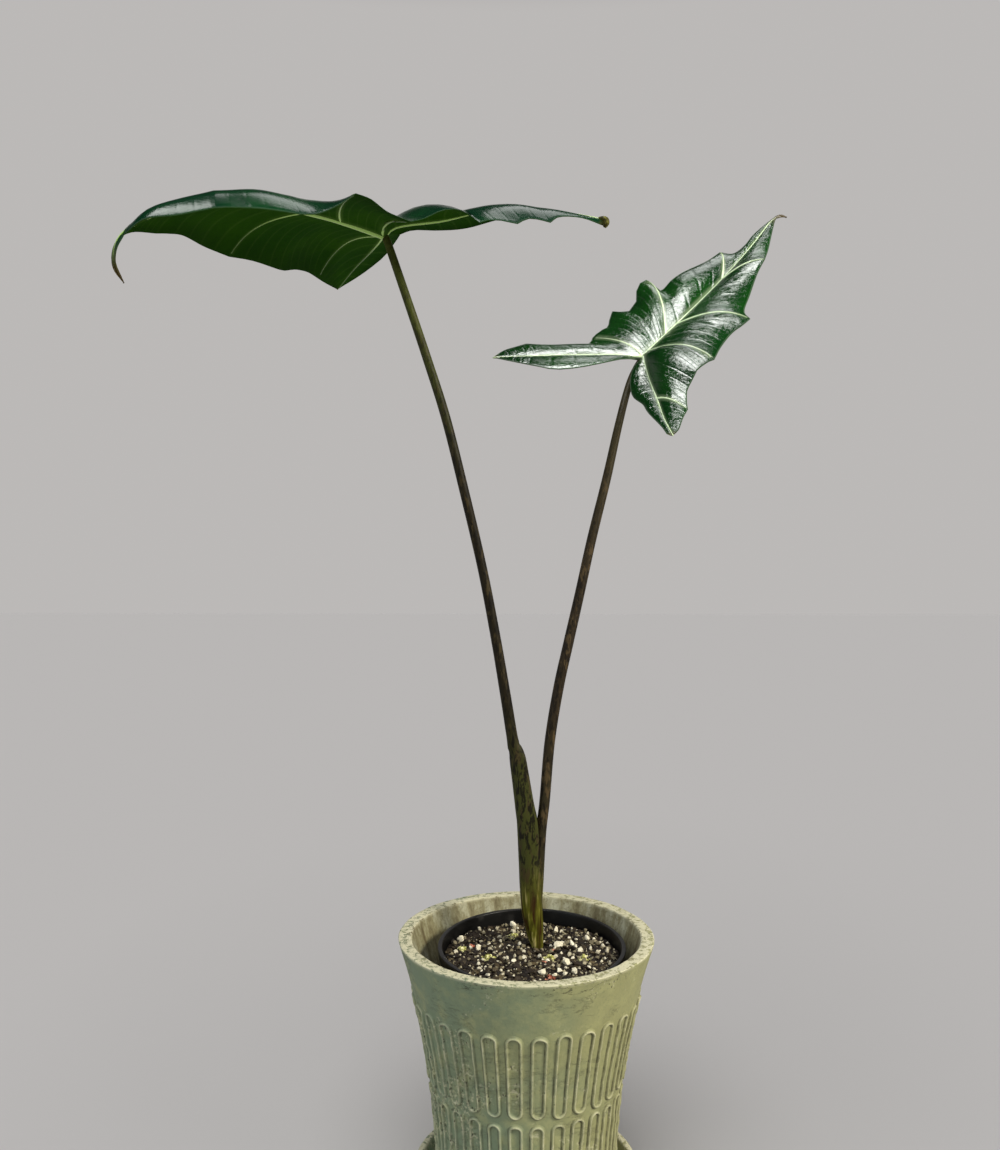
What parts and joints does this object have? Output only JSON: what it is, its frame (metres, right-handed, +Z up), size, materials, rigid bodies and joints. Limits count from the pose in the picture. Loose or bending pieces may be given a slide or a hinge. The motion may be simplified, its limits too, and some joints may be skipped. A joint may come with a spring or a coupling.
{
  "type": "potted sarian alocasia",
  "caption": "Arrow-leaved aroid with two long-stalked leaves, in a nursery pot inside a flared ceramic pot with raised ovals, on a saucer.",
  "frame": {"origin": "centre of the saucer's flat underside, on the surface that the plant stands on", "axes": "+Z up along the pot's axis; -Y is the front, the side the picture was taken from; +X is the picture's right"},
  "size_m": [0.4706, 0.3164, 0.7967],
  "materials": {
    "glaze": "matte",
    "nursery_plastic": "satin",
    "soil": "matte",
    "stem": "satin",
    "leaf": "gloss"
  },
  "bodies": {
    "root": {"saucer": "glaze", "pot": "glaze", "nursery_pot": "nursery_plastic", "soil": "soil", "left_stem": "stem", "right_stem": "stem", "left_leaf": "leaf", "right_leaf": "leaf"}
  },
  "joints": []
}
